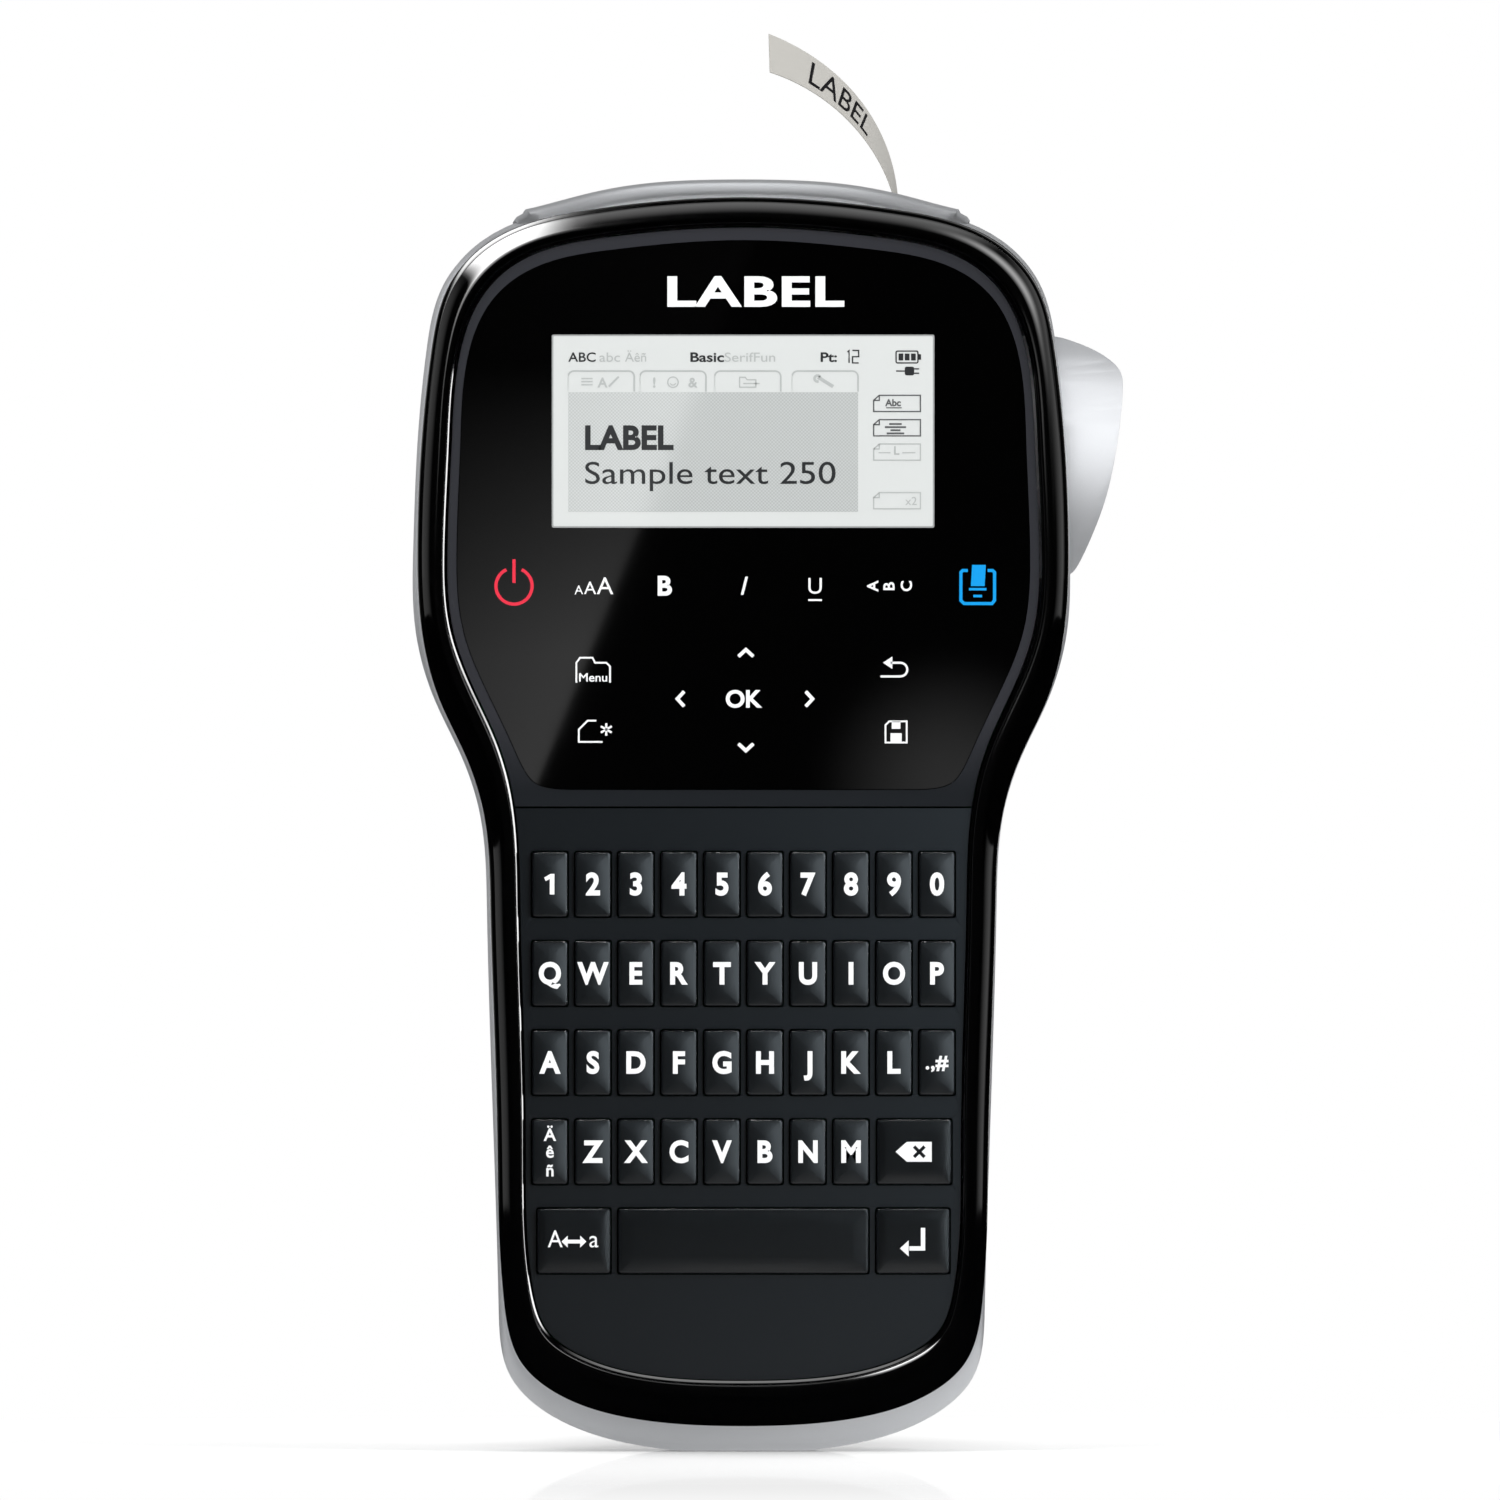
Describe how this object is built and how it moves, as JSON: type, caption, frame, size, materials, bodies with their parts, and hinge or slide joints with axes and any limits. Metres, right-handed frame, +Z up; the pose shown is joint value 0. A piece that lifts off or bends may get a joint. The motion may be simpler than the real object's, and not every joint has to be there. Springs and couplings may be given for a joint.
{
  "type": "hand-held electronic label maker",
  "caption": "Hand-held label maker with a wide display head, a waisted handle with a full letter keypad, a side cutter lever, rear doors and a printed label curling out of the top.",
  "frame": {"origin": "middle of the small flat end that the case stands on", "axes": "+X to the user's right, +Z up from the handle's end to the tape exit, -Y the way the keypad and display face"},
  "size_m": [0.1143, 0.0583, 0.2281],
  "materials": {
    "silver_shell": "satin silver paint on plastic",
    "gloss_black": "polished black",
    "display_overlay": "polished black lens with a matte dark grey border and white printing",
    "keypad_plate": "matte near-black",
    "key_rubber": "satin near-black with white legends",
    "lcd": "pale grey reflective liquid-crystal display",
    "board": "green solder mask",
    "chassis": "moulded dark grey",
    "cassette": "moulded mid grey",
    "battery": "dark wrap over metal-cased cells",
    "label_film": "warm grey film with black printing",
    "platen_rubber": "ground rubber",
    "motor_can": "plated can",
    "print_head": "machined heat sink",
    "blade_steel": "ground steel"
  },
  "bodies": {
    "housing": {"rear_case": "silver_shell", "front_bezel": "gloss_black", "top_cover": "silver_shell", "display_overlay": "display_overlay", "keypad_plate": "keypad_plate", "lcd_module": "lcd", "main_board": "board", "chassis": "chassis", "tape_cassette": "cassette", "battery_pack": "battery", "label_strip": "label_film", "print_head": "print_head", "feed_motor": "motor_can"},
    "lever": {"cutter_lever": "silver_shell"},
    "blade": {"cutter_blade": "blade_steel"},
    "rear_door": {"cassette_door": "silver_shell"},
    "battery_cover": {"battery_door": "silver_shell"},
    "platen": {"platen_roller": "platen_rubber"},
    "button_digit_1": {"key_digit_1": "key_rubber"},
    "button_digit_2": {"key_digit_2": "key_rubber"},
    "button_digit_3": {"key_digit_3": "key_rubber"},
    "button_digit_4": {"key_digit_4": "key_rubber"},
    "button_digit_5": {"key_digit_5": "key_rubber"},
    "button_digit_6": {"key_digit_6": "key_rubber"},
    "button_digit_7": {"key_digit_7": "key_rubber"},
    "button_digit_8": {"key_digit_8": "key_rubber"},
    "button_digit_9": {"key_digit_9": "key_rubber"},
    "button_digit_0": {"key_digit_0": "key_rubber"},
    "button_q": {"key_q": "key_rubber"},
    "button_w": {"key_w": "key_rubber"},
    "button_e": {"key_e": "key_rubber"},
    "button_r": {"key_r": "key_rubber"},
    "button_t": {"key_t": "key_rubber"},
    "button_y": {"key_y": "key_rubber"},
    "button_u": {"key_u": "key_rubber"},
    "button_i": {"key_i": "key_rubber"},
    "button_o": {"key_o": "key_rubber"},
    "button_p": {"key_p": "key_rubber"},
    "button_a": {"key_a": "key_rubber"},
    "button_s": {"key_s": "key_rubber"},
    "button_d": {"key_d": "key_rubber"},
    "button_f": {"key_f": "key_rubber"},
    "button_g": {"key_g": "key_rubber"},
    "button_h": {"key_h": "key_rubber"},
    "button_j": {"key_j": "key_rubber"},
    "button_k": {"key_k": "key_rubber"},
    "button_l": {"key_l": "key_rubber"},
    "button_punctuation": {"key_punctuation": "key_rubber"},
    "button_accents": {"key_accents": "key_rubber"},
    "button_z": {"key_z": "key_rubber"},
    "button_x": {"key_x": "key_rubber"},
    "button_c": {"key_c": "key_rubber"},
    "button_v": {"key_v": "key_rubber"},
    "button_b": {"key_b": "key_rubber"},
    "button_n": {"key_n": "key_rubber"},
    "button_m": {"key_m": "key_rubber"},
    "button_backspace": {"key_backspace": "key_rubber"},
    "button_shift": {"key_shift": "key_rubber"},
    "button_space": {"key_space": "key_rubber"},
    "button_return": {"key_return": "key_rubber"}
  },
  "joints": [
    {"name": "lever_press", "type": "hinge", "parent": "housing", "child": "lever", "pos_m": [0.0495, 0.00475, 0.1416], "axis": [0, -1, 0], "range_deg": [0, 12], "stiffness_Nm_per_rad": 0.3},
    {"name": "blade_cut", "type": "slide", "parent": "housing", "child": "blade", "axis": [-1, 0, 0], "range_m": [0, 0.007]},
    {"name": "rear_door_open", "type": "hinge", "parent": "housing", "child": "rear_door", "pos_m": [0, 0.03275, 0.131], "axis": [-1, 0, 0], "range_deg": [0, 110]},
    {"name": "battery_cover_lift", "type": "slide", "parent": "housing", "child": "battery_cover", "axis": [0, 1, 0], "range_m": [0, 0.03]},
    {"name": "platen_turn", "type": "hinge", "parent": "housing", "child": "platen", "pos_m": [0.0297, 0.00925, 0.186], "axis": [0, 1, 0], "continuous": true},
    {"name": "press_digit_1", "type": "slide", "parent": "housing", "child": "button_digit_1", "axis": [0, 1, 0], "range_m": [0, 0.001], "stiffness_N_per_m": 600},
    {"name": "press_digit_2", "type": "slide", "parent": "housing", "child": "button_digit_2", "axis": [0, 1, 0], "range_m": [0, 0.001], "stiffness_N_per_m": 600},
    {"name": "press_digit_3", "type": "slide", "parent": "housing", "child": "button_digit_3", "axis": [0, 1, 0], "range_m": [0, 0.001], "stiffness_N_per_m": 600},
    {"name": "press_digit_4", "type": "slide", "parent": "housing", "child": "button_digit_4", "axis": [0, 1, 0], "range_m": [0, 0.001], "stiffness_N_per_m": 600},
    {"name": "press_digit_5", "type": "slide", "parent": "housing", "child": "button_digit_5", "axis": [0, 1, 0], "range_m": [0, 0.001], "stiffness_N_per_m": 600},
    {"name": "press_digit_6", "type": "slide", "parent": "housing", "child": "button_digit_6", "axis": [0, 1, 0], "range_m": [0, 0.001], "stiffness_N_per_m": 600},
    {"name": "press_digit_7", "type": "slide", "parent": "housing", "child": "button_digit_7", "axis": [0, 1, 0], "range_m": [0, 0.001], "stiffness_N_per_m": 600},
    {"name": "press_digit_8", "type": "slide", "parent": "housing", "child": "button_digit_8", "axis": [0, 1, 0], "range_m": [0, 0.001], "stiffness_N_per_m": 600},
    {"name": "press_digit_9", "type": "slide", "parent": "housing", "child": "button_digit_9", "axis": [0, 1, 0], "range_m": [0, 0.001], "stiffness_N_per_m": 600},
    {"name": "press_digit_0", "type": "slide", "parent": "housing", "child": "button_digit_0", "axis": [0, 1, 0], "range_m": [0, 0.001], "stiffness_N_per_m": 600},
    {"name": "press_q", "type": "slide", "parent": "housing", "child": "button_q", "axis": [0, 1, 0], "range_m": [0, 0.001], "stiffness_N_per_m": 600},
    {"name": "press_w", "type": "slide", "parent": "housing", "child": "button_w", "axis": [0, 1, 0], "range_m": [0, 0.001], "stiffness_N_per_m": 600},
    {"name": "press_e", "type": "slide", "parent": "housing", "child": "button_e", "axis": [0, 1, 0], "range_m": [0, 0.001], "stiffness_N_per_m": 600},
    {"name": "press_r", "type": "slide", "parent": "housing", "child": "button_r", "axis": [0, 1, 0], "range_m": [0, 0.001], "stiffness_N_per_m": 600},
    {"name": "press_t", "type": "slide", "parent": "housing", "child": "button_t", "axis": [0, 1, 0], "range_m": [0, 0.001], "stiffness_N_per_m": 600},
    {"name": "press_y", "type": "slide", "parent": "housing", "child": "button_y", "axis": [0, 1, 0], "range_m": [0, 0.001], "stiffness_N_per_m": 600},
    {"name": "press_u", "type": "slide", "parent": "housing", "child": "button_u", "axis": [0, 1, 0], "range_m": [0, 0.001], "stiffness_N_per_m": 600},
    {"name": "press_i", "type": "slide", "parent": "housing", "child": "button_i", "axis": [0, 1, 0], "range_m": [0, 0.001], "stiffness_N_per_m": 600},
    {"name": "press_o", "type": "slide", "parent": "housing", "child": "button_o", "axis": [0, 1, 0], "range_m": [0, 0.001], "stiffness_N_per_m": 600},
    {"name": "press_p", "type": "slide", "parent": "housing", "child": "button_p", "axis": [0, 1, 0], "range_m": [0, 0.001], "stiffness_N_per_m": 600},
    {"name": "press_a", "type": "slide", "parent": "housing", "child": "button_a", "axis": [0, 1, 0], "range_m": [0, 0.001], "stiffness_N_per_m": 600},
    {"name": "press_s", "type": "slide", "parent": "housing", "child": "button_s", "axis": [0, 1, 0], "range_m": [0, 0.001], "stiffness_N_per_m": 600},
    {"name": "press_d", "type": "slide", "parent": "housing", "child": "button_d", "axis": [0, 1, 0], "range_m": [0, 0.001], "stiffness_N_per_m": 600},
    {"name": "press_f", "type": "slide", "parent": "housing", "child": "button_f", "axis": [0, 1, 0], "range_m": [0, 0.001], "stiffness_N_per_m": 600},
    {"name": "press_g", "type": "slide", "parent": "housing", "child": "button_g", "axis": [0, 1, 0], "range_m": [0, 0.001], "stiffness_N_per_m": 600},
    {"name": "press_h", "type": "slide", "parent": "housing", "child": "button_h", "axis": [0, 1, 0], "range_m": [0, 0.001], "stiffness_N_per_m": 600},
    {"name": "press_j", "type": "slide", "parent": "housing", "child": "button_j", "axis": [0, 1, 0], "range_m": [0, 0.001], "stiffness_N_per_m": 600},
    {"name": "press_k", "type": "slide", "parent": "housing", "child": "button_k", "axis": [0, 1, 0], "range_m": [0, 0.001], "stiffness_N_per_m": 600},
    {"name": "press_l", "type": "slide", "parent": "housing", "child": "button_l", "axis": [0, 1, 0], "range_m": [0, 0.001], "stiffness_N_per_m": 600},
    {"name": "press_punctuation", "type": "slide", "parent": "housing", "child": "button_punctuation", "axis": [0, 1, 0], "range_m": [0, 0.001], "stiffness_N_per_m": 600},
    {"name": "press_accents", "type": "slide", "parent": "housing", "child": "button_accents", "axis": [0, 1, 0], "range_m": [0, 0.001], "stiffness_N_per_m": 600},
    {"name": "press_z", "type": "slide", "parent": "housing", "child": "button_z", "axis": [0, 1, 0], "range_m": [0, 0.001], "stiffness_N_per_m": 600},
    {"name": "press_x", "type": "slide", "parent": "housing", "child": "button_x", "axis": [0, 1, 0], "range_m": [0, 0.001], "stiffness_N_per_m": 600},
    {"name": "press_c", "type": "slide", "parent": "housing", "child": "button_c", "axis": [0, 1, 0], "range_m": [0, 0.001], "stiffness_N_per_m": 600},
    {"name": "press_v", "type": "slide", "parent": "housing", "child": "button_v", "axis": [0, 1, 0], "range_m": [0, 0.001], "stiffness_N_per_m": 600},
    {"name": "press_b", "type": "slide", "parent": "housing", "child": "button_b", "axis": [0, 1, 0], "range_m": [0, 0.001], "stiffness_N_per_m": 600},
    {"name": "press_n", "type": "slide", "parent": "housing", "child": "button_n", "axis": [0, 1, 0], "range_m": [0, 0.001], "stiffness_N_per_m": 600},
    {"name": "press_m", "type": "slide", "parent": "housing", "child": "button_m", "axis": [0, 1, 0], "range_m": [0, 0.001], "stiffness_N_per_m": 600},
    {"name": "press_backspace", "type": "slide", "parent": "housing", "child": "button_backspace", "axis": [0, 1, 0], "range_m": [0, 0.001], "stiffness_N_per_m": 600},
    {"name": "press_shift", "type": "slide", "parent": "housing", "child": "button_shift", "axis": [0, 1, 0], "range_m": [0, 0.001], "stiffness_N_per_m": 600},
    {"name": "press_space", "type": "slide", "parent": "housing", "child": "button_space", "axis": [0, 1, 0], "range_m": [0, 0.001], "stiffness_N_per_m": 600},
    {"name": "press_return", "type": "slide", "parent": "housing", "child": "button_return", "axis": [0, 1, 0], "range_m": [0, 0.001], "stiffness_N_per_m": 600}
  ],
  "couplings": [
    {"joint": "blade_cut", "follows": "lever_press", "m_per_rad": 0.033}
  ]
}
